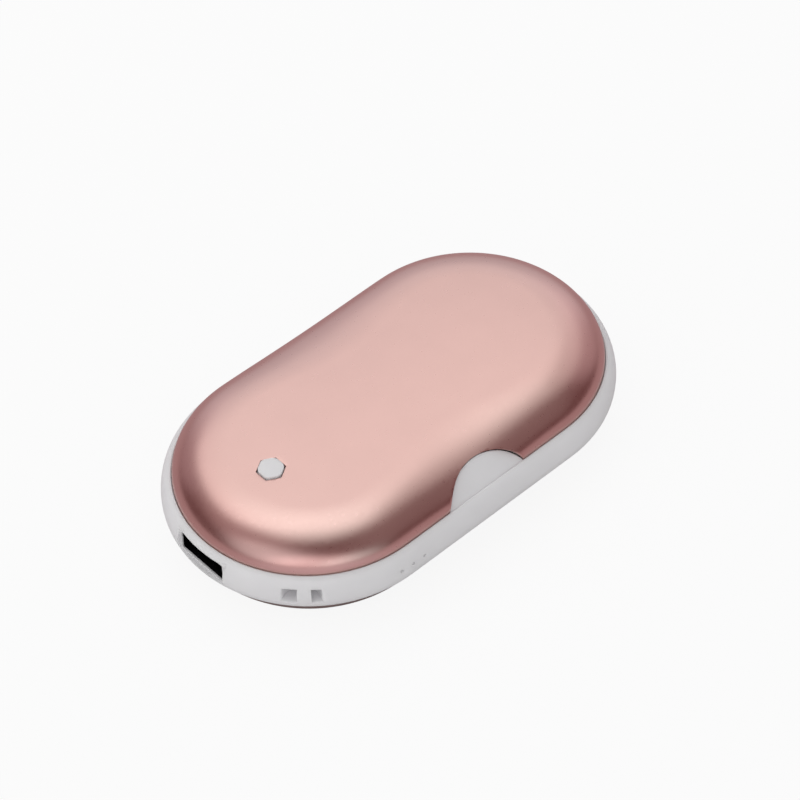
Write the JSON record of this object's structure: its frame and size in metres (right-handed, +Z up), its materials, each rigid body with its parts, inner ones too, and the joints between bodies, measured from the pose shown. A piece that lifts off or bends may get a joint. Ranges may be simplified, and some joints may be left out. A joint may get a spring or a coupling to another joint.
{
  "type": "rechargeable hand warmer",
  "caption": "Pebble-shaped rechargeable hand warmer: waisted metal shells on a pale plastic band, with a hexagonal push button, USB sockets, charge lamps and a lanyard eyelet.",
  "frame": {"origin": "middle of the flat resting face under the object", "axes": "+X away from the USB end along the length, +Y away from the side with the thumb tongue, +Z up"},
  "size_m": [0.1051, 0.0608, 0.0237],
  "materials": {
    "rose_metal": "bead-blasted and anodised rose gold",
    "white_plastic": "fine matt moulding",
    "clear_plastic": "clear polycarbonate",
    "grey_plastic": "moulded",
    "black_plastic": "moulded",
    "liner_sheet": "plain sheet",
    "heater_film": "amber polyimide film",
    "cell_wrap": "shrink wrap over a steel can",
    "nickel_strip": "plain",
    "board_laminate": "solder mask",
    "dark_plating": "black nickel plating",
    "tin_plating": "tin plated",
    "spring_steel": "plain spring steel",
    "gold_plating": "gold plated",
    "ferrite": "sintered",
    "capacitor_body": "fired",
    "lamp_body": "moulded",
    "red_insulation": "silicone",
    "black_insulation": "silicone",
    "white_insulation": "silicone",
    "zinc_steel": "zinc plated"
  },
  "bodies": {
    "housing": {"top_shell": "rose_metal", "bottom_shell": "rose_metal", "band": "white_plastic", "top_clip_ring": "white_plastic", "bottom_clip_ring": "white_plastic", "top_heater": "heater_film", "bottom_heater": "heater_film", "top_liner": "liner_sheet", "bottom_liner": "liner_sheet", "thermistor": "black_plastic", "inner_tray": "grey_plastic", "left_cell": "cell_wrap", "right_cell": "cell_wrap", "front_strip": "nickel_strip", "rear_strip": "nickel_strip", "main_board": "board_laminate", "usb_shell": "dark_plating", "usb_tongue": "black_plastic", "usb_contacts": "gold_plating", "micro_usb_shell": "tin_plating", "micro_usb_tongue": "black_plastic", "switch_base": "black_plastic", "switch_cover": "tin_plating", "switch_dome": "spring_steel", "power_inductor": "ferrite", "charge_chip": "black_plastic", "control_chip": "black_plastic", "board_capacitors": "capacitor_body", "led_chips": "lamp_body", "light_guide": "clear_plastic", "red_lead": "red_insulation", "black_lead": "black_insulation", "top_heater_leads": "white_insulation", "bottom_heater_leads": "white_insulation", "tray_screws": "zinc_steel", "board_screws": "zinc_steel"},
    "button": {"button_cap": "white_plastic", "switch_plunger": "black_plastic"}
  },
  "joints": [
    {"name": "button_press", "type": "slide", "parent": "housing", "child": "button", "axis": [0, 0, -1], "range_m": [0, 0.0003], "stiffness_N_per_m": 800, "springref_m": -0.0005, "deforming": ["switch_dome"]}
  ]
}
